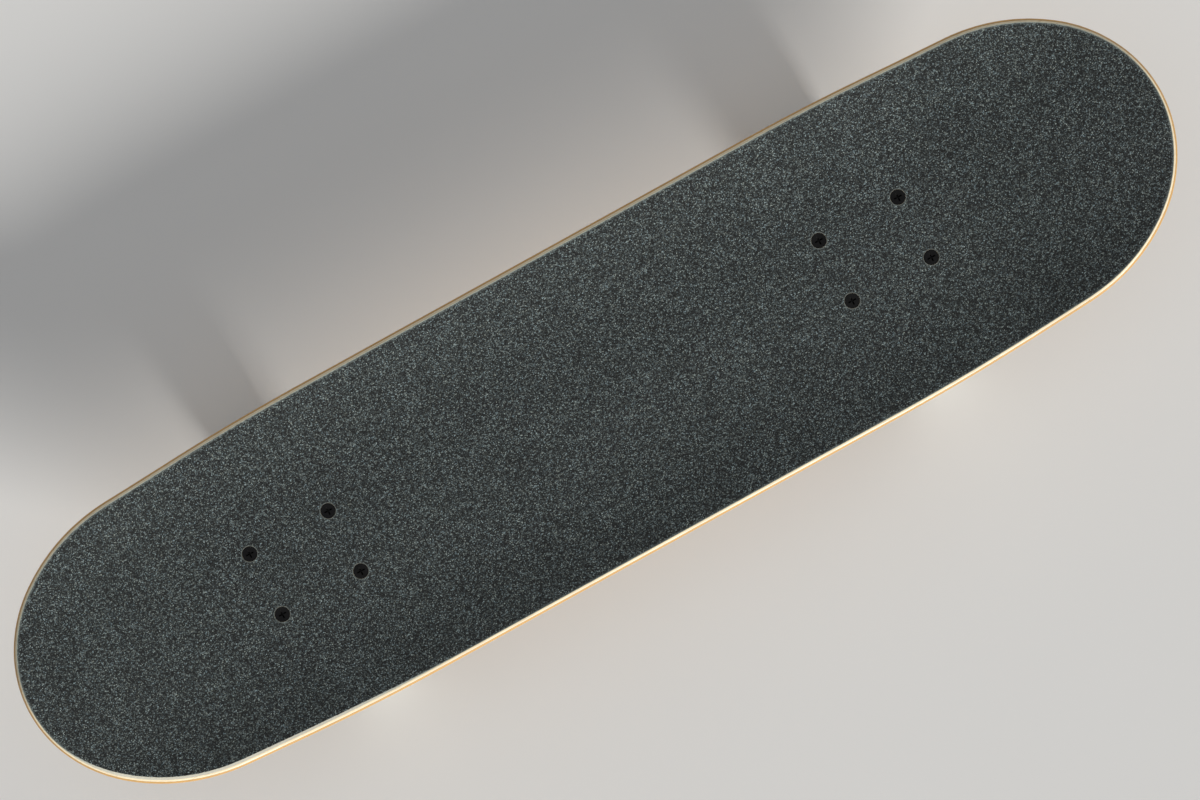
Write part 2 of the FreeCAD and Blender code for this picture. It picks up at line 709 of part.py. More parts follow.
# ---- wheels and bearings --------------------------------------------------------------------
def make_wheel(centre, way):
    """A urethane wheel with its bearing seats; way points outboard along the axle."""
    half = wheel_width / 2
    web = spacer_length / 2
    seat = bearing_outer_radius
    seat_end = web + bearing_width + wheel_seat_lip
    mouth = seat + wheel_mouth_flare
    right = [(web, wheel_web_bore), (web, seat), (seat_end, seat), (half - wheel_mouth_depth, mouth),
             (half - wheel_mouth_round / 2, mouth + wheel_mouth_round),
             (half, wheel_face_radius - wheel_face_land), (half, wheel_face_radius)]
    tread = wheel_tread / 2
    for step in range(wheel_edge_steps + 1):
        turn = math.radians(90 * step / wheel_edge_steps)
        along = tread + (half - tread) * math.cos(turn)
        right.append((along, wheel_radius - wheel_edge_radius * (1 - math.sin(turn))))
    left = [(-along, radius) for along, radius in reversed(right)]
    return turned(right + left, centre, way)


def shield_places():
    """How far in from a bearing's end its two shields start."""
    return (shield_recess, bearing_width - shield_recess - shield_thickness)


def bearing_rings(start, way):
    middle = start + way * (bearing_width / 2)
    groove = placed(Part.makeTorus(bearing_pitch_radius, ball_radius + race_clearance), middle, way)
    inner = tube(bearing_bore_radius, inner_ring_shoulder, start, way, bearing_width).cut(groove)
    outer = tube(outer_ring_shoulder, bearing_outer_radius, start, way, bearing_width).cut(groove)
    for depth in shield_places():
        land = outer_ring_shoulder + shield_land
        slot = tube(outer_ring_shoulder - shield_land, land, start + way * depth, way, shield_thickness)
        outer = outer.cut(slot)
    return inner, outer


def bearing_shields(start, way):
    inside = inner_ring_shoulder + shield_gap
    land = outer_ring_shoulder + shield_land
    return [tube(inside, land, start + way * depth, way, shield_thickness) for depth in shield_places()]


def bearing_balls(start, way):
    middle = start + way * (bearing_width / 2)
    balls = []
    cage_start = middle - way * cage_half_width
    cage = tube(cage_inner_radius, cage_outer_radius, cage_start, way, 2 * cage_half_width)
    for step in range(ball_count):
        turn = 2 * math.pi * (step + ball_offset_share) / ball_count
        outward = FreeCAD.Vector(math.cos(turn), 0, math.sin(turn))
        balls.append(Part.makeSphere(ball_radius, middle + outward * bearing_pitch_radius))
        cage = cage.cut(rod(ball_radius + cage_pocket_clearance, middle, outward, cage_outer_radius * 2))
    return balls, cage


def make_wheel_set(end, side_name, side):
    axle = FreeCAD.Vector(truck_centres[end] + outboard[end] * axle_offset, 0, wheel_radius)
    way = LEFT * side
    name = f"{end}_{side_name}"
    save(f"{name}_wheel", make_wheel(axle + way * wheel_middle, way))
    inner_rings = []
    outer_rings = []
    shields = []
    balls = []
    cages = []
    for place in (inner_bearing_at, outer_bearing_at):
        start = axle + way * place
        inner, outer = bearing_rings(start, way)
        inner_rings.append(inner)
        outer_rings.append(outer)
        shields += bearing_shields(start, way)
        set_balls, cage = bearing_balls(start, way)
        balls += set_balls
        cages.append(cage)
    save(f"{name}_bearing_inner_rings", group(inner_rings))
    save(f"{name}_bearing_outer_rings", group(outer_rings))
    save(f"{name}_bearing_shields", group(shields))
    save(f"{name}_bearing_balls", group(balls))
    save(f"{name}_bearing_cages", group(cages))
    spacer_start = axle + way * (inner_bearing_at + bearing_width)
    spacer = tube(bearing_bore_radius, spacer_radius, spacer_start, way, spacer_length)
    save(f"{name}_bearing_spacer", spacer)


# ---- build ----------------------------------------------------------------------------------
os.makedirs("parts", exist_ok=True)
save("deck", make_deck())
save("grip_tape", make_grip())
make_deck_hardware()
for truck_end in ("front", "rear"):
    make_truck(truck_end)
    for side_name, side in (("left", 1), ("right", -1)):
        make_wheel_set(truck_end, side_name, side)
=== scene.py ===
import json
import math

import bmesh
import bpy
from mathutils import Matrix, Vector


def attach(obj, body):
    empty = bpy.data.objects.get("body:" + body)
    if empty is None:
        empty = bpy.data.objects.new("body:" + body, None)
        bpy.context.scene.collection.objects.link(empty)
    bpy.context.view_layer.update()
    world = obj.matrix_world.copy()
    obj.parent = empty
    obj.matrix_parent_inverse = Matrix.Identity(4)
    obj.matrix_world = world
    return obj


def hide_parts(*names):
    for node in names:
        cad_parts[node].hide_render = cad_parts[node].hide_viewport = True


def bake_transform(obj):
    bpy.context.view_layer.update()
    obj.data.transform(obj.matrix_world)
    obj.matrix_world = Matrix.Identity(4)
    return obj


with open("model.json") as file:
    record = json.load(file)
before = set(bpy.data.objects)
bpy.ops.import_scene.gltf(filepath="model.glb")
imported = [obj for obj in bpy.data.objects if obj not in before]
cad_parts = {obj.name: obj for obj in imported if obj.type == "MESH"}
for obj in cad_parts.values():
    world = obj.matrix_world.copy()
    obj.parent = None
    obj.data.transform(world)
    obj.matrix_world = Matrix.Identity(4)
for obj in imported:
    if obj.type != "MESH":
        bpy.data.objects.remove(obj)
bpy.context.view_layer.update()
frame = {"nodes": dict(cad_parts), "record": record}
print("frame loaded", len(frame["nodes"]), "nodes")

mm = 0.001
ends = ("front", "rear")
boardThickness = 10.5 * mm

# the pressed deck, as the layout of its plies and edge needs it
deckShape = {
    "width": 190.5 * mm,
    "thickness": boardThickness,
    # glue lines from the underside up, as shares of the thickness
    "seams": [rise * mm / boardThickness for rise in (1.1, 2.8, 4.45, 6.1, 7.75, 9.4)],
    "underside": 79.0 * mm,
    "kickStart": (234.25 * mm, -240.25 * mm),   # where the nose and the tail begin to bend
    "kickBend": 128.0 * mm,
    "kickAngle": math.radians(20.0),
    "concaveRadius": 245.5 * mm,                # of the underside
    "concaveFlat": 30.0 * mm,
    "tips": (376.25 * mm, -376.25 * mm),
    "tipRadius": (84.1 * mm, 82.3 * mm),
    "flankRadius": 1400.0 * mm,
    "tipArc": math.radians(48.7),
    "shoulderArc": math.radians(84.7),
    "gripInset": 2.8 * mm,
}

# where the bolts and axles stand: the middle of the board's layout, half the distance between
# the two trucks, and half the bolt pattern along and across
boltLayout = {"middle": -3.0 * mm, "half": 195.2625 * mm, "long": 26.9875 * mm, "wide": 20.6375 * mm}
axleLayout = {"half": 201.2625 * mm, "height": 26.0 * mm}


# node helpers
def makeGroup(name, inputs, outputs):
    # inputs are (name, kind, value), outputs are (name, kind)
    group = bpy.data.node_groups.new(name, "ShaderNodeTree")
    for label, kind, value in inputs:
        socket = group.interface.new_socket(name=label, in_out="INPUT", socket_type="NodeSocket" + kind)
        if value is not None:
            socket.default_value = value
    for label, kind in outputs:
        group.interface.new_socket(name=label, in_out="OUTPUT", socket_type="NodeSocket" + kind)
    source = group.nodes.new("NodeGroupInput")
    target = group.nodes.new("NodeGroupOutput")
    return group, source, target


def feed(tree, socket, value):
    # a value is another node's output or a plain number, vector or colour
    if isinstance(value, bpy.types.NodeSocket):
        tree.links.new(value, socket)
    else:
        socket.default_value = value


def calc(tree, operation, *values, clamp=False):
    node = tree.nodes.new("ShaderNodeMath")
    node.operation = operation
    node.use_clamp = clamp
    for socket, value in zip(node.inputs, values):
        feed(tree, socket, value)
    return node.outputs[0]


def ramp(tree, value, low, high, smooth=True):
    # 0 below low, 1 above high
    node = tree.nodes.new("ShaderNodeMapRange")
    node.interpolation_type = "SMOOTHSTEP" if smooth else "LINEAR"
    feed(tree, node.inputs["Value"], value)
    node.inputs["From Min"].default_value = low
    node.inputs["From Max"].default_value = high
    return node.outputs["Result"]


def split(tree, vector):
    node = tree.nodes.new("ShaderNodeSeparateXYZ")
    feed(tree, node.inputs[0], vector)
    return node.outputs


def stretch(tree, vector, scale):
    node = tree.nodes.new("ShaderNodeMapping")
    feed(tree, node.inputs["Vector"], vector)
    node.inputs["Scale"].default_value = scale
    return node.outputs[0]


def noise(tree, vector, scale, detail=3.0, rough=0.55, distortion=0.0):
    node = tree.nodes.new("ShaderNodeTexNoise")
    feed(tree, node.inputs["Vector"], vector)
    node.inputs["Scale"].default_value = scale
    node.inputs["Detail"].default_value = detail
    node.inputs["Roughness"].default_value = rough
    node.inputs["Distortion"].default_value = distortion
    return node.outputs["Fac"]


def cells(tree, vector, scale):
    node = tree.nodes.new("ShaderNodeTexVoronoi")
    feed(tree, node.inputs["Vector"], vector)
    node.inputs["Scale"].default_value = scale
    return node.outputs["Distance"], node.outputs["Color"]


def blendColour(tree, factor, first, second, mode="MIX"):
    node = tree.nodes.new("ShaderNodeMix")
    node.data_type = "RGBA"
    node.blend_type = mode
    feed(tree, node.inputs[0], factor)
    feed(tree, node.inputs[6], first)
    feed(tree, node.inputs[7], second)
    return node.outputs[2]


def colourRamp(tree, value, stops, constant=False):
    node = tree.nodes.new("ShaderNodeValToRGB")
    feed(tree, node.inputs[0], value)
    band = node.color_ramp
    band.interpolation = "CONSTANT" if constant else "EASE"
    while len(band.elements) < len(stops):
        band.elements.new(0.5)
    for element, (position, colour) in zip(band.elements, stops):
        element.position = position
        element.color = colour
    return node.outputs[0]


def grey(value):
    return (value, value, value, 1.0)


def useGroup(tree, group, **values):
    node = tree.nodes.new("ShaderNodeGroup")
    node.node_tree = group
    for label, value in values.items():
        feed(tree, node.inputs[label], value)
    return node.outputs


def startMaterial(name):
    material = bpy.data.materials.new(name)
    material.use_nodes = True
    tree = material.node_tree
    place = tree.nodes.new("ShaderNodeTexCoord").outputs["Object"]
    return material, tree, tree.nodes["Principled BSDF"], place


def addBump(tree, shader, height, strength, distance):
    bump = tree.nodes.new("ShaderNodeBump")
    bump.inputs["Strength"].default_value = strength
    bump.inputs["Distance"].default_value = distance
    feed(tree, bump.inputs["Height"], height)
    tree.links.new(bump.outputs[0], shader.inputs["Normal"])


# shared effects
def makePressedShape():
    # how far up through the plies a point lies (0 underside, 1 top)
    group, source, target = makeGroup("pressedShape", [("Place", "Vector", None)], [("Height", "Float")])
    x, y, z = split(group, source.outputs["Place"])
    # height above the underside with the kicks laid flat: up to the kick's full angle a point is
    # measured from the centre of the bend, past it along the kick
    noseStart, tailStart = deckShape["kickStart"]
    pastNose = calc(group, "SUBTRACT", x, noseStart)
    pastTail = calc(group, "SUBTRACT", tailStart, x)
    past = calc(group, "MAXIMUM", calc(group, "MAXIMUM", pastNose, pastTail), 0.0)
    drop = calc(group, "SUBTRACT", deckShape["underside"] + deckShape["kickBend"], z)
    turn = calc(group, "MINIMUM", calc(group, "ARCTAN2", past, drop), deckShape["kickAngle"])
    reach = calc(group, "MULTIPLY", drop, calc(group, "COSINE", turn))
    reach = calc(group, "MULTIPLY_ADD", past, calc(group, "SINE", turn), reach)
    rise = calc(group, "SUBTRACT", deckShape["kickBend"], reach)
    # then with the concave laid flat too, from the centre of its arc
    side = calc(group, "SUBTRACT", calc(group, "ABSOLUTE", y), deckShape["concaveFlat"])
    side = calc(group, "MAXIMUM", side, 0.0)
    up = calc(group, "SUBTRACT", deckShape["concaveRadius"], rise)
    span = calc(group, "SQRT", calc(group, "MULTIPLY_ADD", side, side, calc(group, "MULTIPLY", up, up)))
    height = calc(group, "SUBTRACT", deckShape["concaveRadius"], span)
    group.links.new(calc(group, "DIVIDE", height, deckShape["thickness"]), target.inputs["Height"])
    return group


def distance(tree, a, b):
    return calc(tree, "SQRT", calc(tree, "MULTIPLY_ADD", a, a, calc(tree, "MULTIPLY", b, b)))


def endInset(tree, inward, side, tipRadius):
    # distance in from the outline's three tangent arcs at one end, for a point so far inward from
    # the tip and so far to the side
    first, second = deckShape["tipArc"], deckShape["shoulderArc"]
    flank = deckShape["flankRadius"]
    # the shoulder's radius is the one that ends the flank at half the board's width
    rest = deckShape["width"] / 2 - tipRadius * math.sin(first) - flank * (1 - math.sin(second))
    shoulder = rest / (math.sin(second) - math.sin(first))
    centres = [(tipRadius, 0.0)]
    for radius, following, turn in ((tipRadius, shoulder, first), (shoulder, flank, second)):
        along, across = centres[-1]
        grow = following - radius
        centres.append((along + grow * math.cos(turn), across - grow * math.sin(turn)))
    found = None
    for radius, (along, across), turn in zip((tipRadius, shoulder, flank), centres, (None, first, second)):
        ahead = calc(tree, "SUBTRACT", along, inward)
        if radius == flank:
            ahead = calc(tree, "MAXIMUM", ahead, 0.0)
        inset = calc(tree, "SUBTRACT", radius, distance(tree, ahead, calc(tree, "SUBTRACT", side, across)))
        if found is None:
            found = inset
        else:
            lift = calc(tree, "MULTIPLY", calc(tree, "SUBTRACT", side, across), math.cos(turn))
            run = calc(tree, "MULTIPLY", calc(tree, "SUBTRACT", along, inward), math.sin(turn))
            past = calc(tree, "GREATER_THAN", lift, run)
            change = calc(tree, "SUBTRACT", inset, found)
            found = calc(tree, "MULTIPLY_ADD", past, change, found)
    return found


def makeDeckEdge():
    # distance in from the deck's outline, seen from above
    group, source, target = makeGroup("deckEdge", [("Place", "Vector", None)], [("Inset", "Float")])
    x, y, z = split(group, source.outputs["Place"])
    side = calc(group, "ABSOLUTE", y)
    noseTip, tailTip = deckShape["tips"]
    noseRadius, tailRadius = deckShape["tipRadius"]
    nose = endInset(group, calc(group, "SUBTRACT", noseTip, x), side, noseRadius)
    tail = endInset(group, calc(group, "SUBTRACT", x, tailTip), side, tailRadius)
    group.links.new(calc(group, "MINIMUM", nose, tail), target.inputs["Inset"])
    return group


# grains of the abrasive, in cells to the metre, and how their shades spread
gritShape = {
    "fineCells": 2300.0,
    "coarseCells": 1420.0,
    "coarseShare": 0.6,
    "contrast": 3.7,
    # from which grain on the painted glint, a highlight painted into the colour, shows
    "paintedGlintFrom": 0.975,
}


def makeGrit():
    # abrasive grains: shade varies from grain to grain, a few get a painted glint (a near-white highlight
    # painted into their colour), and all stand proud
    shape = gritShape
    group, source, target = makeGroup("grit", [("Place", "Vector", None)],
                                      [("Shade", "Float"), ("Warmth", "Float"), ("PaintedGlint", "Float"),
                                       ("Height", "Float")])
    place = source.outputs["Place"]
    fineGap, fineTone = cells(group, place, shape["fineCells"])
    coarseGap, coarseTone = cells(group, place, shape["coarseCells"])
    fine = split(group, fineTone)
    coarse = split(group, coarseTone)
    shade = calc(group, "MULTIPLY", coarse[0], shape["coarseShare"])
    shade = calc(group, "MULTIPLY_ADD", fine[0], 1.0 - shape["coarseShare"], shade)
    shade = calc(group, "POWER", shade, shape["contrast"])
    gap = ramp(group, coarseGap, 0.8, 0.3)
    shade = calc(group, "MULTIPLY", shade, calc(group, "MULTIPLY_ADD", gap, 0.8, 0.2))
    group.links.new(shade, target.inputs["Shade"])
    group.links.new(fine[1], target.inputs["Warmth"])
    # painted glint: the few brightest grains are marked to be painted near-white, a highlight in the
    # colour
    glintMask = ramp(group, coarse[1], shape["paintedGlintFrom"], 1.0)
    glintMask = calc(group, "MULTIPLY", glintMask, ramp(group, coarseGap, 0.45, 0.1))
    group.links.new(glintMask, target.inputs["PaintedGlint"])
    height = calc(group, "MULTIPLY_ADD", coarseGap, -0.8, coarse[2])
    height = calc(group, "MULTIPLY_ADD", fineGap, -0.5, height)
    group.links.new(height, target.inputs["Height"])
    return group


# how fine the wood's fibres, pores and broad figure are along, across and through the board
woodShape = {
    "fibres": (9.0, 620.0, 260.0),
    "pores": (60.0, 1500.0, 900.0),
    "figure": (0.55, 2.6, 1.0),
    "figureBands": 11.0,
    "figureBend": 7.0,
}


def makeWoodGrain():
    # long fibres and broad figure, both along the board
    shape = woodShape
    group, source, target = makeGroup("woodGrain", [("Place", "Vector", None), ("Shift", "Float", 0.0)],
                                      [("Fibre", "Float"), ("Figure", "Float"), ("Pores", "Float")])
    shift = group.nodes.new("ShaderNodeCombineXYZ")
    for socket in shift.inputs:
        group.links.new(source.outputs["Shift"], socket)
    moved = group.nodes.new("ShaderNodeVectorMath")
    moved.operation = "ADD"
    group.links.new(source.outputs["Place"], moved.inputs[0])
    group.links.new(shift.outputs[0], moved.inputs[1])
    place = moved.outputs[0]
    fibre = noise(group, stretch(group, place, shape["fibres"]), 1.0, 4.0, 0.62)
    group.links.new(fibre, target.inputs["Fibre"])
    wave = group.nodes.new("ShaderNodeTexWave")
    wave.bands_direction = "Y"
    wave.inputs["Scale"].default_value = shape["figureBands"]
    wave.inputs["Distortion"].default_value = shape["figureBend"]
    wave.inputs["Detail"].default_value = 2.5
    wave.inputs["Detail Scale"].default_value = 1.4
    group.links.new(stretch(group, place, shape["figure"]), wave.inputs["Vector"])
    group.links.new(wave.outputs["Fac"], target.inputs["Figure"])
    pores = noise(group, stretch(group, place, shape["pores"]), 1.0, 2.0, 0.5)
    group.links.new(ramp(group, pores, 0.62, 0.72), target.inputs["Pores"])
    return group


# how closely handling marks and the two directions of scratches are packed
wearShape = {
    "smudges": 45.0,
    "scratches": (90.0, 1800.0, 700.0),
    "crossScratches": (1500.0, 110.0, 800.0),
    "grain": 900.0,
}


def makeSurfaceWear():
    # soft handling marks, fine scratches and cast or moulded texture for metal and plastic
    shape = wearShape
    group, source, target = makeGroup("surfaceWear",
                                      [("Place", "Vector", None), ("Grain", "Float", shape["grain"])],
                                      [("Smudge", "Float"), ("Scratch", "Float"), ("Texture", "Float")])
    place = source.outputs["Place"]
    smudge = noise(group, place, shape["smudges"], 4.0, 0.6)
    group.links.new(ramp(group, smudge, 0.35, 0.7), target.inputs["Smudge"])
    lines = noise(group, stretch(group, place, shape["scratches"]), 1.0, 2.0, 0.5, 0.6)
    crossLines = noise(group, stretch(group, place, shape["crossScratches"]), 1.0, 2.0, 0.5, 0.6)
    lines = ramp(group, lines, 0.66, 0.74)
    crossLines = ramp(group, crossLines, 0.68, 0.76)
    group.links.new(calc(group, "MAXIMUM", lines, crossLines), target.inputs["Scratch"])
    texture = group.nodes.new("ShaderNodeTexNoise")
    texture.inputs["Detail"].default_value = 3.0
    group.links.new(place, texture.inputs["Vector"])
    group.links.new(source.outputs["Grain"], texture.inputs["Scale"])
    group.links.new(texture.outputs["Fac"], target.inputs["Texture"])
    return group


pressedShape = makePressedShape()
deckEdge = makeDeckEdge()
grit = makeGrit()
woodGrain = makeWoodGrain()
surfaceWear = makeSurfaceWear()
print("shared effects ready")


# deck
mapleLook = {
    "faceTones": ((0.72, 0.47, 0.25, 1), (0.80, 0.57, 0.34, 1)),
    # from the underside up; the top ply's pale cream is partly its own paler maple and partly a painted
    # highlight, the rim's upper edge painted as if lit
    "plyTones": [(0.74, 0.50, 0.25, 1), (0.64, 0.37, 0.14, 1), (0.76, 0.53, 0.27, 1),
                 (0.60, 0.34, 0.13, 1), (0.74, 0.50, 0.24, 1), (0.60, 0.34, 0.10, 1),
                 (0.92, 0.79, 0.56, 1)],
    "fibreTones": (0.62, 1.22),       # darkest and palest, over the ply's own tone
    "fibreStrength": 0.55,
    "glueTone": (0.26, 0.13, 0.055, 1),
    "glueWidth": 0.09 * mm,
    "glueStrength": 0.8,
    "poreTone": (0.40, 0.22, 0.10, 1),
    "poreStrength": 0.35,
    "handledTone": (0.42, 0.27, 0.15, 1),
    "handledStrength": 0.14,
    "plyShift": 0.37,                 # moves the grain of one ply against the next
    "roughness": 0.42,
    "varnish": 0.18,
    "varnishRoughness": 0.22,
    "reliefDepth": 0.12 * mm,
}


def makeMaple():
    look = mapleLook
    material, tree, shader, place = startMaterial("mapleLaminate")
    height = useGroup(tree, pressedShape, Place=place)["Height"]
    starts = [0.0] + deckShape["seams"]
    plyTone = colourRamp(tree, height, list(zip(starts, look["plyTones"])), True)
    shifts = [(start, grey(i * look["plyShift"])) for i, start in enumerate(starts)]
    shift = colourRamp(tree, height, shifts, True)
    grain = useGroup(tree, woodGrain, Place=place, Shift=shift)
    seam = 1.0
    for share in deckShape["seams"]:
        away = calc(tree, "ABSOLUTE", calc(tree, "SUBTRACT", height, share))
        seam = calc(tree, "MINIMUM", seam, away)
    width = look["glueWidth"] / deckShape["thickness"]
    glue = ramp(tree, seam, width, width * 0.3)
    face = blendColour(tree, grain["Figure"], look["faceTones"][0], look["faceTones"][1])
    isFace = ramp(tree, height, 0.012, 0.004)
    wood = blendColour(tree, isFace, plyTone, face)
    dark, pale = look["fibreTones"]
    fibre = blendColour(tree, grain["Fibre"], grey(dark), grey(pale))
    wood = blendColour(tree, look["fibreStrength"], wood, fibre, "MULTIPLY")
    wear = useGroup(tree, surfaceWear, Place=place)
    for mask, strength, stain in ((grain["Pores"], look["poreStrength"], look["poreTone"]),
                                  (glue, look["glueStrength"], look["glueTone"]),
                                  (wear["Smudge"], look["handledStrength"], look["handledTone"])):
        wood = blendColour(tree, calc(tree, "MULTIPLY", mask, strength), wood, stain)
    tree.links.new(wood, shader.inputs["Base Color"])
    rough = calc(tree, "MULTIPLY_ADD", wear["Smudge"], 0.16, look["roughness"])
    tree.links.new(calc(tree, "MULTIPLY_ADD", glue, 0.15, rough), shader.inputs["Roughness"])
    shader.inputs["Coat Weight"].default_value = look["varnish"]
    shader.inputs["Coat Roughness"].default_value = look["varnishRoughness"]
    relief = calc(tree, "MULTIPLY_ADD", glue, -0.8, calc(tree, "MULTIPLY", grain["Fibre"], 0.35))
    relief = calc(tree, "MULTIPLY_ADD", grain["Pores"], -0.25, relief)
    addBump(tree, shader, relief, 0.5, look["reliefDepth"])
    return material


# grip
gripLook = {
    "gapTone": (0.003, 0.004, 0.0042, 1),       # between the grains
    "coolTone": (0.375, 0.540, 0.620, 1),
    "warmTone": (0.545, 0.600, 0.520, 1),
    # a painted highlight: the near-white glint painted onto a few grains
    "paintedGlintTone": (0.70, 0.78, 0.73, 1),
    "filedTone": (0.20, 0.23, 0.22, 1),
    "filedWidth": 1.7 * mm,
    "lipTone": (0.50, 0.56, 0.49, 1),
    "lipWidth": 0.45 * mm,
    "lipStrength": 0.75,
    # the lip is filed wider along one side of the tail, and painted pale there: partly the filed grip's
    # own paler colour, partly a painted highlight where its bevel catches the light
    "wornHighlightTone": (0.94, 0.90, 0.75, 1),
    "wornWidth": 1.25 * mm,
    "wornLitAlong": (-130.0 * mm, -230.0 * mm),    # from untouched to fully worn
    "wornLitAcross": (-20.0 * mm, -60.0 * mm),
    "wornBevel": 7.5,                           # its fall, in heights of a grain
    "raggedSize": 420.0,
    "raggedDepth": 1.4 * mm,
    "holeRadius": 4.85 * mm,
    "holeRing": 0.6 * mm,
    "ringStrength": 0.7,
    "patchSize": 22.0,
    "patchTones": (0.84, 1.12),
    "roughness": 0.78,
    "grainHeight": 0.28 * mm,
}


def makeGripSheet():
    look = gripLook
    material, tree, shader, place = startMaterial("gripSheet")
    grains = useGroup(tree, grit, Place=place)
    grain = blendColour(tree, grains["Warmth"], look["coolTone"], look["warmTone"])
    tone = blendColour(tree, grains["Shade"], look["gapTone"], grain)
    dark, pale = look["patchTones"]
    patches = blendColour(tree, noise(tree, place, look["patchSize"], 5.0, 0.6), grey(dark), grey(pale))
    tone = blendColour(tree, 1.0, tone, patches, "MULTIPLY")
    # painted glint: a few grains painted near-white as a highlight
    tone = blendColour(tree, grains["PaintedGlint"], tone, look["paintedGlintTone"])
    inset = useGroup(tree, deckEdge, Place=place)["Inset"]
    # the filed edge and its pale lip, from how far in a point is from the sheet's own edge
    ragged = calc(tree, "SUBTRACT", noise(tree, place, look["raggedSize"], 2.0), 0.5)
    ragged = calc(tree, "MULTIPLY", ragged, look["raggedDepth"])
    depth = calc(tree, "SUBTRACT", inset, deckShape["gripInset"])
    filed = ramp(tree, calc(tree, "ADD", depth, ragged), look["filedWidth"], 0.0)
    x, y, z = split(tree, place)
    # along one side of the tail: wider filing, and a pale tone that is partly a painted highlight
    wornAndLit = calc(tree, "MULTIPLY", ramp(tree, x, *look["wornLitAlong"]), ramp(tree, y, *look["wornLitAcross"]))
    lipDepth = calc(tree, "MULTIPLY_ADD", wornAndLit, -look["wornWidth"], depth)
    lip = ramp(tree, calc(tree, "MULTIPLY_ADD", ragged, 0.3, lipDepth), look["lipWidth"], 0.1 * mm)
    # the torn rings round the bolts: folding the board on itself three times leaves one bolt
    along = calc(tree, "ABSOLUTE", calc(tree, "SUBTRACT", x, boltLayout["middle"]))
    along = calc(tree, "ABSOLUTE", calc(tree, "SUBTRACT", along, boltLayout["half"]))
    along = calc(tree, "SUBTRACT", along, boltLayout["long"])
    across = calc(tree, "SUBTRACT", calc(tree, "ABSOLUTE", y), boltLayout["wide"])
    fromHole = calc(tree, "ADD", distance(tree, along, across), calc(tree, "MULTIPLY", ragged, 0.4))
    ring = ramp(tree, fromHole, look["holeRadius"] + look["holeRing"], look["holeRadius"])
    broken = calc(tree, "MULTIPLY_ADD", grains["Shade"], 1.2, 0.5, clamp=True)
    tone = blendColour(tree, calc(tree, "MULTIPLY", filed, broken), tone, look["filedTone"])
    ring = calc(tree, "MULTIPLY", ring, look["ringStrength"])
    tone = blendColour(tree, ring, tone, look["filedTone"])
    # the worn lip's pale tone is partly the filed grip's own colour and partly a painted highlight
    lipTone = blendColour(tree, wornAndLit, look["lipTone"], look["wornHighlightTone"])
    tone = blendColour(tree, calc(tree, "MULTIPLY", lip, look["lipStrength"]), tone, lipTone)
    tree.links.new(tone, shader.inputs["Base Color"])
    rough = calc(tree, "MULTIPLY_ADD", grains["PaintedGlint"], -0.45, look["roughness"])
    tree.links.new(rough, shader.inputs["Roughness"])
    shader.inputs["Specular IOR Level"].default_value = 0.45
    slope = ramp(tree, depth, look["wornWidth"] + look["lipWidth"], 0.0, False)
    bevel = calc(tree, "MULTIPLY", slope, calc(tree, "MULTIPLY", wornAndLit, -look["wornBevel"]))
    addBump(tree, shader, calc(tree, "ADD", bevel, grains["Height"]), 0.75, look["grainHeight"])
    return material


# metals, and the plain urethane and nylon pieces: dark and pale tone, least and most roughness,
# how fine the surface's grain is and how strongly it stands out
metalRelief = 0.2 * mm
metalLooks = {
    "blackOxide": {
        "tones": ((0.002, 0.002, 0.0025), (0.008, 0.0078, 0.0078)),
        "metallic": 0.0, "rough": (0.34, 0.5), "grain": 1400.0, "relief": 0.25, "shine": 0.12,
    },
    "zincPlate": {
        "tones": ((0.46, 0.46, 0.45), (0.66, 0.66, 0.66)),
        "metallic": 1.0, "rough": (0.24, 0.42), "grain": 1600.0, "relief": 0.15,
    },
    "tumbledAlloy": {
        "tones": ((0.42, 0.42, 0.43), (0.58, 0.58, 0.59)),
        "metallic": 1.0, "rough": (0.38, 0.55), "grain": 700.0, "relief": 0.55,
    },
    "polishedAlloy": {
        "tones": ((0.62, 0.62, 0.63), (0.80, 0.80, 0.81)),
        "metallic": 1.0, "rough": (0.16, 0.34), "grain": 500.0, "relief": 0.12,
    },
    "plainSteel": {
        "tones": ((0.30, 0.30, 0.31), (0.48, 0.48, 0.48)),
        "metallic": 1.0, "rough": (0.26, 0.45), "grain": 1300.0, "relief": 0.2,
    },
    "nickelPlate": {
        "tones": ((0.56, 0.55, 0.53), (0.74, 0.73, 0.71)),
        "metallic": 1.0, "rough": (0.14, 0.30), "grain": 1500.0, "relief": 0.1,
    },
    "bearingSteel": {
        "tones": ((0.55, 0.55, 0.56), (0.72, 0.72, 0.73)),
        "metallic": 1.0, "rough": (0.10, 0.22), "grain": 2500.0, "relief": 0.05,
    },
    "shieldSteel": {
        "tones": ((0.20, 0.20, 0.21), (0.34, 0.34, 0.35)),
        "metallic": 1.0, "rough": (0.28, 0.45), "grain": 2200.0, "relief": 0.12,
    },
    "cupUrethane": {
        "tones": ((0.016, 0.016, 0.018), (0.040, 0.040, 0.043)),
        "metallic": 0.0, "rough": (0.46, 0.62), "grain": 1200.0, "relief": 0.3,
    },
    "cageNylon": {
        "tones": ((0.60, 0.57, 0.49), (0.74, 0.72, 0.65)),
        "metallic": 0.0, "rough": (0.38, 0.5), "grain": 1500.0, "relief": 0.15,
    },
}


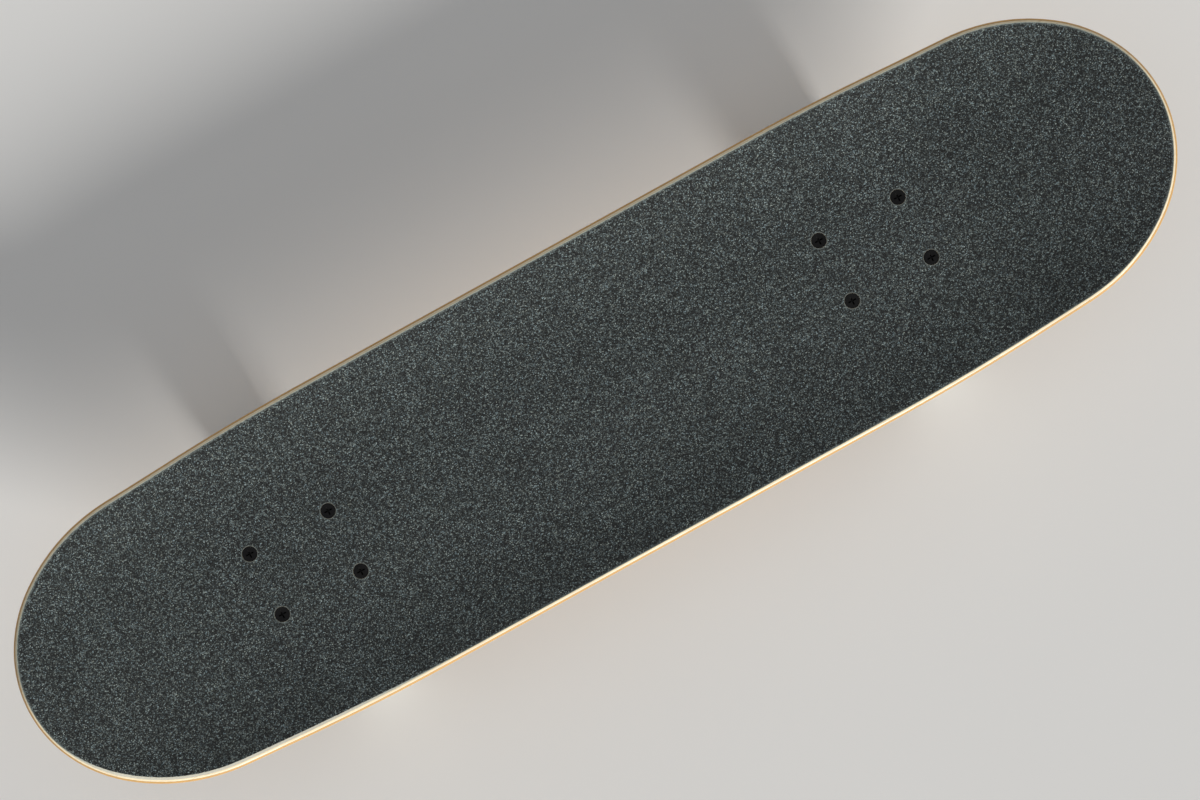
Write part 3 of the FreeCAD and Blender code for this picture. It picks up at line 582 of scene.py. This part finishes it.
def makeFinish(name, look):
    material, tree, shader, place = startMaterial(name)
    wear = useGroup(tree, surfaceWear, Place=place, Grain=look["grain"])
    dark, light = [tone + (1.0,) for tone in look["tones"]]
    mix = calc(tree, "MULTIPLY_ADD", wear["Texture"], 0.6, calc(tree, "MULTIPLY", wear["Smudge"], 0.4))
    tone = blendColour(tree, ramp(tree, mix, 0.25, 0.75, False), light, dark)
    tone = blendColour(tree, calc(tree, "MULTIPLY", wear["Scratch"], 0.35), tone, light)
    tree.links.new(tone, shader.inputs["Base Color"])
    low, high = look["rough"]
    rough = calc(tree, "MULTIPLY_ADD", wear["Smudge"], high - low, low)
    rough = calc(tree, "MULTIPLY_ADD", wear["Scratch"], 0.12, rough)
    tree.links.new(rough, shader.inputs["Roughness"])
    shader.inputs["Metallic"].default_value = look["metallic"]
    shader.inputs["Specular IOR Level"].default_value = look.get("shine", 0.5)
    relief = calc(tree, "MULTIPLY_ADD", wear["Scratch"], -0.3, wear["Texture"])
    addBump(tree, shader, relief, look["relief"], metalRelief)
    return material


# wheels
wheelLook = {
    "cleanTones": ((0.64, 0.605, 0.515, 1), (0.70, 0.67, 0.585, 1)),
    "rolledTone": (0.50, 0.46, 0.385, 1),
    "rolledStrength": 0.55,
    "dirtTone": (0.16, 0.135, 0.105, 1),
    "treadStart": 23.2 * mm,
    "treadFull": 25.7 * mm,
    "treadWander": 1.2 * mm,
    "speckSize": 1100.0,
    "grain": 1000.0,
    "roughness": 0.34,
    "depthOfLight": 3.0 * mm,
    "reliefDepth": 0.12 * mm,
}


def makeWheelUrethane():
    look = wheelLook
    material, tree, shader, place = startMaterial("wheelUrethane")
    x, y, z = split(tree, place)
    along = calc(tree, "ABSOLUTE", calc(tree, "SUBTRACT", x, boltLayout["middle"]))
    along = calc(tree, "SUBTRACT", along, axleLayout["half"])
    radius = distance(tree, along, calc(tree, "SUBTRACT", z, axleLayout["height"]))
    wear = useGroup(tree, surfaceWear, Place=place, Grain=look["grain"])
    tone = blendColour(tree, noise(tree, place, 30.0), look["cleanTones"][0], look["cleanTones"][1])
    tread = calc(tree, "MULTIPLY_ADD", wear["Smudge"], look["treadWander"], radius)
    tread = ramp(tree, tread, look["treadStart"], look["treadFull"])
    rolled = calc(tree, "MULTIPLY", tread, look["rolledStrength"])
    tone = blendColour(tree, rolled, tone, look["rolledTone"])
    specks = ramp(tree, noise(tree, place, look["speckSize"], 3.0, 0.6), 0.60, 0.72)
    dirt = calc(tree, "MULTIPLY", specks, calc(tree, "MULTIPLY_ADD", tread, 0.55, 0.05))
    tone = blendColour(tree, dirt, tone, look["dirtTone"])
    tree.links.new(tone, shader.inputs["Base Color"])
    rough = calc(tree, "MULTIPLY_ADD", wear["Smudge"], 0.08, look["roughness"])
    rough = calc(tree, "MULTIPLY_ADD", tread, 0.24, rough)
    tree.links.new(rough, shader.inputs["Roughness"])
    shader.inputs["Subsurface Weight"].default_value = 0.15
    shader.inputs["Subsurface Scale"].default_value = look["depthOfLight"]
    shader.inputs["Subsurface Radius"].default_value = (1.0, 0.8, 0.55)
    relief = calc(tree, "MULTIPLY_ADD", specks, -0.4, calc(tree, "MULTIPLY", wear["Texture"], 0.4))
    addBump(tree, shader, relief, 0.3, look["reliefDepth"])
    return material


# bushings
bushingLook = {
    "tones": ((0.42, 0.155, 0.030, 1), (0.62, 0.27, 0.065, 1)),
    "scratchTone": (0.75, 0.5, 0.3, 1),
    "grain": 900.0,
    "roughness": 0.30,
    "depthOfLight": 4.0 * mm,
    "reliefDepth": 0.1 * mm,
    "bulge": 0.35 * mm,
    "rings": 18,              # along the outside, and along the bores of the tall and short ones
    "tallBoreRings": 8,
    "shortBoreRings": 6,
    "sides": 72,
}


def makeBushingUrethane():
    look = bushingLook
    material, tree, shader, place = startMaterial("bushingUrethane")
    wear = useGroup(tree, surfaceWear, Place=place, Grain=look["grain"])
    tone = blendColour(tree, noise(tree, place, 60.0), look["tones"][0], look["tones"][1])
    tone = blendColour(tree, calc(tree, "MULTIPLY", wear["Scratch"], 0.2), tone, look["scratchTone"])
    tree.links.new(tone, shader.inputs["Base Color"])
    rough = calc(tree, "MULTIPLY_ADD", wear["Smudge"], 0.2, look["roughness"])
    tree.links.new(rough, shader.inputs["Roughness"])
    shader.inputs["Subsurface Weight"].default_value = 0.3
    shader.inputs["Subsurface Scale"].default_value = look["depthOfLight"]
    shader.inputs["Subsurface Radius"].default_value = (1.0, 0.45, 0.15)
    addBump(tree, shader, wear["Texture"], 0.15, look["reliefDepth"])
    return material


finishes = {name: makeFinish(name, look) for name, look in metalLooks.items()}
finishes["maple"] = makeMaple()
finishes["grip"] = makeGripSheet()
finishes["wheel"] = makeWheelUrethane()
finishes["bushing"] = makeBushingUrethane()
print("finishes ready", len(finishes))

# which finish each material slot of the record takes
slotFinish = {
    "maple": "maple", "grip": "grip", "black_steel": "blackOxide", "nut_steel": "zincPlate",
    "baseplate_alloy": "tumbledAlloy", "hanger_alloy": "polishedAlloy", "cup_urethane": "cupUrethane",
    "bushing_urethane": "bushing", "kingpin_steel": "plainSteel", "washer_steel": "nickelPlate",
    "axle_steel": "plainSteel", "wheel_urethane": "wheel", "bearing_steel": "bearingSteel",
    "cage_nylon": "cageNylon", "shield_steel": "shieldSteel",
}


def dressNodes():
    for part in frame["record"]["subparts"]:
        piece = frame["nodes"][part["node"]]
        piece.data.materials.clear()
        piece.data.materials.append(finishes[slotFinish[part["material_slot"]]])


# trucks: the rubber bushings, remade as turned pieces between the board and the leaning hanger
truckShape = {
    "kingpinLean": math.radians(15.0),
    "seatOffset": -14.0 * mm,
    "seatDrop": 32.0 * mm,
    "seatHalf": 4.0 * mm,
    "bore": 4.91 * mm,           # these are radii
    "nib": 7.2 * mm,
    "radius": 13.5 * mm,
    "shortStart": 13.2 * mm,
    "shortEnd": 10.2 * mm,
    "tall": 14.0 * mm,           # these are heights
    "short": 10.0 * mm,
    "nibHeight": 3.4 * mm,
    "shortSeat": 2.0 * mm,
    "tallCorner": 1.1 * mm,
    "shortCorner": 0.88 * mm,
}


def standAlong(start, axis):
    # places a shape that was drawn up the Z axis from the origin
    turn = Vector((0, 0, 1)).rotation_difference(axis).to_matrix().to_4x4()
    return Matrix.Translation(start) @ turn


def finishPiece(name, work):
    # a smooth piece from the mesh being worked on
    bmesh.ops.recalc_face_normals(work, faces=work.faces)
    for face in work.faces:
        face.smooth = True
    mesh = bpy.data.meshes.new(name)
    work.to_mesh(mesh)
    work.free()
    piece = bpy.data.objects.new(name, mesh)
    bpy.context.scene.collection.objects.link(piece)
    return piece


def turnedPiece(name, profile, start, axis, sides):
    # profile is a closed list of (along, radius)
    work = bmesh.new()
    place = standAlong(start, axis)
    loops = []
    for step in range(sides):
        angle = 2 * math.pi * step / sides
        across, up = math.cos(angle), math.sin(angle)
        corners = [Vector((radius * across, radius * up, along)) for along, radius in profile]
        loops.append([work.verts.new(place @ corner) for corner in corners])
    count = len(profile)
    for step in range(sides):
        here, there = loops[step], loops[(step + 1) % sides]
        for i in range(count):
            j = (i + 1) % count
            work.faces.new((here[i], here[j], there[j], there[i]))
    return finishPiece(name, work)


def roundedWall(low, high, lowRadius, highRadius, bulge, corner, rings):
    # the outside of a rubber ring: rounded corners and a slight barrel
    points = []
    for i in range(rings + 1):
        share = i / rings
        along = low + (high - low) * share
        radius = lowRadius + (highRadius - lowRadius) * share + bulge * math.sin(math.pi * share)
        edge = min(along - low, high - along)
        if edge < corner:
            radius -= corner - math.sqrt(corner * corner - (corner - edge) ** 2)
        points.append((along, radius))
    return points


def boreWall(length, radius, rings):
    return [(length * i / rings, radius) for i in range(rings, -1, -1)]


def makeBushings(end):
    shape, look = truckShape, bushingLook
    toward = 1 if end == "front" else -1
    deckFoot = Vector((boltLayout["middle"] + toward * boltLayout["half"], 0, deckShape["underside"]))
    down = Vector((-toward * math.sin(shape["kingpinLean"]), 0, -math.cos(shape["kingpinLean"])))
    seat = deckFoot + Vector((toward * shape["seatOffset"], 0, -shape["seatDrop"]))
    nib, bore, radius = shape["nib"], shape["bore"], shape["radius"]
    # towards the board: plain barrel, seated in the cup washer
    tall = shape["tall"]
    tip = tall + shape["nibHeight"]
    wall = roundedWall(0.0, tall, radius, radius, look["bulge"], shape["tallCorner"], look["rings"])
    hole = boreWall(tall, bore, look["tallBoreRings"])
    profile = wall + [(tall, nib), (tip, nib), (tip, bore)] + hole
    start = seat - down * (shape["seatHalf"] + tall)
    upper = turnedPiece(end + "_boardside_rubber", profile, start, down, look["sides"])
    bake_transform(upper)
    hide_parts(end + "_boardside_bushing")
    # towards the road: a cone that ends in the small washer
    short, seated = shape["short"], shape["short"] - shape["shortSeat"]
    tip = -shape["nibHeight"]
    wall = roundedWall(0.0, seated, shape["shortStart"], shape["shortEnd"], look["bulge"],
                       shape["shortCorner"], look["rings"])
    wall[-1] = (seated, shape["shortEnd"])
    hole = boreWall(short, bore, look["shortBoreRings"])
    profile = wall + [(short, shape["shortEnd"])] + hole + [(tip, bore), (tip, nib), (0.0, nib)]
    start = seat + down * shape["seatHalf"]
    lower = turnedPiece(end + "_roadside_rubber", profile, start, down, look["sides"])
    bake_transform(lower)
    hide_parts(end + "_roadside_bushing")
    for piece in (upper, lower):
        piece.data.materials.append(finishes["bushing"])


# the ends of the screws that stand out of their nuts
threadShape = {
    "boltRadius": 2.4 * mm,
    "boltPitch": 0.794 * mm,
    "boltFrom": 68.0 * mm,       # height of the first turn below a lock nut
    "boltTo": 65.6 * mm,
    "depth": 0.14,               # how far a turn stands out, as a share of the pitch
    "root": 0.36,                # half its width at the root and at the crest, likewise
    "crest": 0.06,
    "sunk": 0.05 * mm,           # how far its root is inside the screw
    "taper": 3.0,                # how fast it grows at its ends
    "steps": 28,                 # round one turn
}


def threadTurns(name, foot, axis, radius, pitch, length):
    # one helical ridge, tapering to nothing at both ends
    shape = threadShape
    steps = shape["steps"]
    work = bmesh.new()
    place = standAlong(foot, axis)
    count = max(steps, int(length / pitch * steps))
    root = radius - shape["sunk"]
    rows = []
    for i in range(count + 1):
        angle = 2 * math.pi * i / steps
        along = pitch * i / steps
        fade = min(1.0, shape["taper"] * i / steps, shape["taper"] * (count - i) / steps) + 0.02
        crest = radius + shape["depth"] * pitch * fade
        row = []
        for offset, reach in ((-shape["root"], root), (-shape["crest"], crest), (shape["crest"], crest),
                              (shape["root"], root)):
            rise = along + offset * pitch * fade
            point = Vector((reach * math.cos(angle), reach * math.sin(angle), rise))
            row.append(work.verts.new(place @ point))
        rows.append(row)
    for here, there in zip(rows, rows[1:]):
        for j in range(4):
            k = (j + 1) % 4
            work.faces.new((here[j], here[k], there[k], there[j]))
    work.faces.new(rows[0])
    work.faces.new(reversed(rows[-1]))
    piece = finishPiece(name, work)
    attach(piece, "board")
    return piece


def makeThreads(end):
    shape = threadShape
    toward = 1 if end == "front" else -1
    middle = boltLayout["middle"] + toward * boltLayout["half"]
    length = shape["boltFrom"] - shape["boltTo"]
    number = 0
    for along in (-1, 1):
        for across in (-1, 1):
            number += 1
            name = end + "_bolt_thread_" + str(number)
            x = middle + along * boltLayout["long"]
            foot = Vector((x, across * boltLayout["wide"], shape["boltFrom"]))
            down = Vector((0, 0, -1))
            piece = threadTurns(name, foot, down, shape["boltRadius"], shape["boltPitch"], length)
            piece.data.materials.append(finishes["blackOxide"])


dressNodes()
for end in ends:
    makeBushings(end)
    makeThreads(end)
print("pieces dressed")


# stage, light and camera
stageLook = {
    "floorHalf": 40.0,
    "floorTones": ((0.74, 0.74, 0.735, 1), (0.77, 0.77, 0.765, 1)),
    "skyTone": (0.97, 0.98, 1.0, 1),
    "floorRoughness": 0.9,
    "floorShine": 0.15,
    "skyLight": 0.28,
    "skySeen": 0.62,      # how bright the surroundings look past the floor's edge
    "keyFrom": (0.25, -2.35, 1.05),
    "keyTone": (1.0, 0.972, 0.925),
    "keyStrength": 3.6,
    "keySoftness": math.radians(14.0),
    # name, place, width, power and tone
    "softBoxes": [
        ("overheadLight", (-0.25, 0.05, 2.6), 2.6, 7.0, (0.945, 0.98, 1.0)),
        ("fillLight", (2.6, 0.9, 1.2), 1.6, 9.0, (1.0, 0.97, 0.93)),
    ],
}


def aim(lamp, start):
    toBoard = Vector((0, 0, deckShape["underside"])) - Vector(start)
    lamp.location = start
    lamp.rotation_mode = "QUATERNION"
    lamp.rotation_quaternion = toBoard.to_track_quat("-Z", "Y")
    bpy.context.scene.collection.objects.link(lamp)


def makeFloor():
    half = stageLook["floorHalf"]
    mesh = bpy.data.meshes.new("floor")
    corners = [(-half, -half, 0), (half, -half, 0), (half, half, 0), (-half, half, 0)]
    mesh.from_pydata(corners, [], [(0, 1, 2, 3)])
    floor = bpy.data.objects.new("floor", mesh)
    bpy.context.scene.collection.objects.link(floor)
    material, tree, shader, place = startMaterial("paleFloor")
    tone = blendColour(tree, noise(tree, place, 3.0), *stageLook["floorTones"])
    tree.links.new(tone, shader.inputs["Base Color"])
    shader.inputs["Roughness"].default_value = stageLook["floorRoughness"]
    shader.inputs["Specular IOR Level"].default_value = stageLook["floorShine"]
    # seen from under the floor it is clear, so the board's underside can be looked at
    clear = tree.nodes.new("ShaderNodeBsdfTransparent")
    mix = tree.nodes.new("ShaderNodeMixShader")
    tree.links.new(tree.nodes.new("ShaderNodeNewGeometry").outputs["Backfacing"], mix.inputs[0])
    tree.links.new(shader.outputs[0], mix.inputs[1])
    tree.links.new(clear.outputs[0], mix.inputs[2])
    tree.links.new(mix.outputs[0], tree.nodes["Material Output"].inputs["Surface"])
    mesh.materials.append(material)


def makeSky():
    world = bpy.data.worlds.new("studio")
    world.use_nodes = True
    tree = world.node_tree
    sky = tree.nodes["Background"]
    sky.inputs[0].default_value = stageLook["skyTone"]
    seen = tree.nodes.new("ShaderNodeLightPath").outputs["Is Camera Ray"]
    extra = stageLook["skySeen"] - stageLook["skyLight"]
    tree.links.new(calc(tree, "MULTIPLY_ADD", seen, extra, stageLook["skyLight"]), sky.inputs[1])
    bpy.context.scene.world = world


def makeLights():
    key = bpy.data.lights.new("keyLight", "SUN")
    key.energy = stageLook["keyStrength"]
    key.angle = stageLook["keySoftness"]
    key.color = stageLook["keyTone"]
    aim(bpy.data.objects.new("keyLight", key), stageLook["keyFrom"])
    for name, start, size, power, tone in stageLook["softBoxes"]:
        light = bpy.data.lights.new(name, "AREA")
        light.shape = "DISK"
        light.size = size
        light.energy = power
        light.color = tone
        aim(bpy.data.objects.new(name, light), start)


# straight down on the board, a little off its middle
cameraPlace = {
    "target": (4.23 * mm, 0.15 * mm, 90.15 * mm),
    "away": 1300.0 * mm,
    "tiltBack": 0.0303,
    "tiltSide": 0.0132,
    "roll": math.radians(-28.8),
    "lens": 64.97,
    "sensor": 36.0,
}


def makeCamera():
    setting = cameraPlace
    tiltBack, tiltSide = setting["tiltBack"], setting["tiltSide"]
    back = Vector((math.sin(tiltSide), -math.sin(tiltBack) * math.cos(tiltSide),
                   math.cos(tiltBack) * math.cos(tiltSide)))
    upAngle = setting["roll"] + math.pi / 2
    up = Vector((math.cos(upAngle), math.sin(upAngle), 0))
    right = up.cross(back).normalized()
    top = back.cross(right)
    turn = Matrix((right, top, back)).transposed().to_4x4()
    data = bpy.data.cameras.new("camera")
    data.lens = setting["lens"]
    data.sensor_width = setting["sensor"]
    camera = bpy.data.objects.new("camera", data)
    camera.matrix_world = Matrix.Translation(Vector(setting["target"]) + back * setting["away"]) @ turn
    bpy.context.scene.collection.objects.link(camera)
    bpy.context.scene.camera = camera
    bpy.context.scene.view_settings.view_transform = "Standard"


makeFloor()
makeSky()
makeLights()
makeCamera()
print("stage ready")
